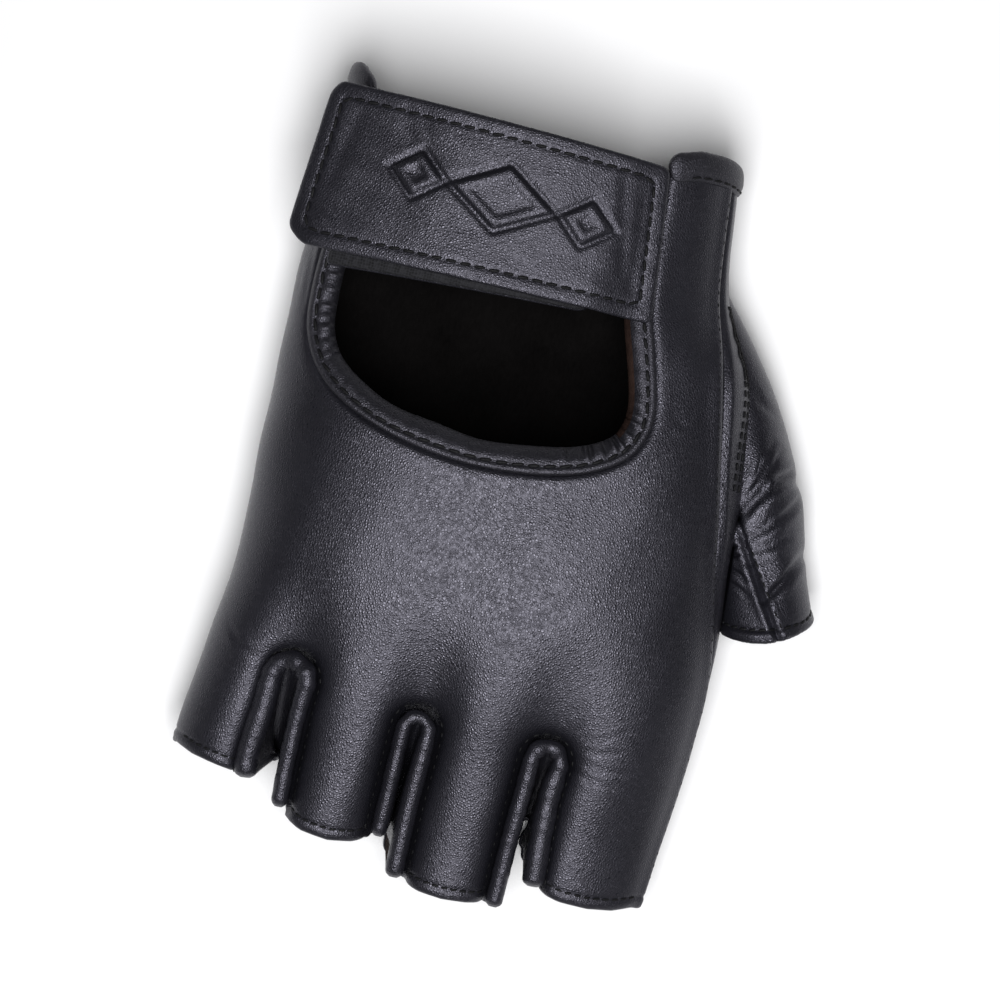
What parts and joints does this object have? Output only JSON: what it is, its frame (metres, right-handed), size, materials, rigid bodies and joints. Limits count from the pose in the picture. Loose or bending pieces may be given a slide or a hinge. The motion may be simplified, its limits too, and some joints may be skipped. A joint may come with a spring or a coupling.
{
  "type": "fingerless leather glove",
  "caption": "Right-hand fingerless glove of black leather, with an open back and a wrist strap that closes with hook-and-loop tape.",
  "frame": {"origin": "middle of the area the glove covers, on the surface it lies on", "axes": "+X to the thumb side, +Y from the fingers to the wrist, +Z to the back of the hand; the glove lies on its palm"},
  "size_m": [0.1208, 0.1572, 0.0449],
  "materials": {
    "black_leather": "soft sheen, fine grain",
    "thread": "matte",
    "hook_tape": "matte, short stiff hooks",
    "loop_tape": "matte, fuzzy"
  },
  "bodies": {
    "glove_shell": {"back_panel": "black_leather", "palm_panel": "black_leather", "sidewall_ring_little": "black_leather", "sidewall_middle_ring": "black_leather", "sidewall_index_middle": "black_leather", "thumb_outer": "black_leather", "thumb_inner": "black_leather", "opening_binding": "black_leather", "wrist_binding": "black_leather", "opening_thread": "thread", "wrist_thread": "thread", "radial_seam_thread": "thread", "ulnar_seam_thread": "thread", "thumb_seam_thread": "thread", "thumb_hem_thread": "thread", "little_hem_thread": "thread", "ring_hem_thread": "thread", "middle_hem_thread": "thread", "index_hem_thread": "thread", "ring_little_slit_thread": "thread", "middle_ring_slit_thread": "thread", "index_middle_slit_thread": "thread"},
    "strap": {"strap_leather": "black_leather", "strap_backing": "black_leather", "hook_tape": "hook_tape", "strap_thread": "thread"},
    "closure_tab": {"tab_leather": "black_leather", "loop_tape": "loop_tape"}
  },
  "joints": [
    {"name": "strap_open", "type": "hinge", "parent": "glove_shell", "child": "strap", "pos_m": [0.01179, 0.05706, 0.0387], "axis": [-0.1419, 0.9895, -0.026], "range_deg": [0, 160]},
    {"name": "tab_press", "type": "hinge", "parent": "glove_shell", "child": "closure_tab", "pos_m": [-0.04952, 0.05506, 0.0326], "axis": [0, 0.9997, -0.0262], "range_deg": [0, 20]}
  ]
}
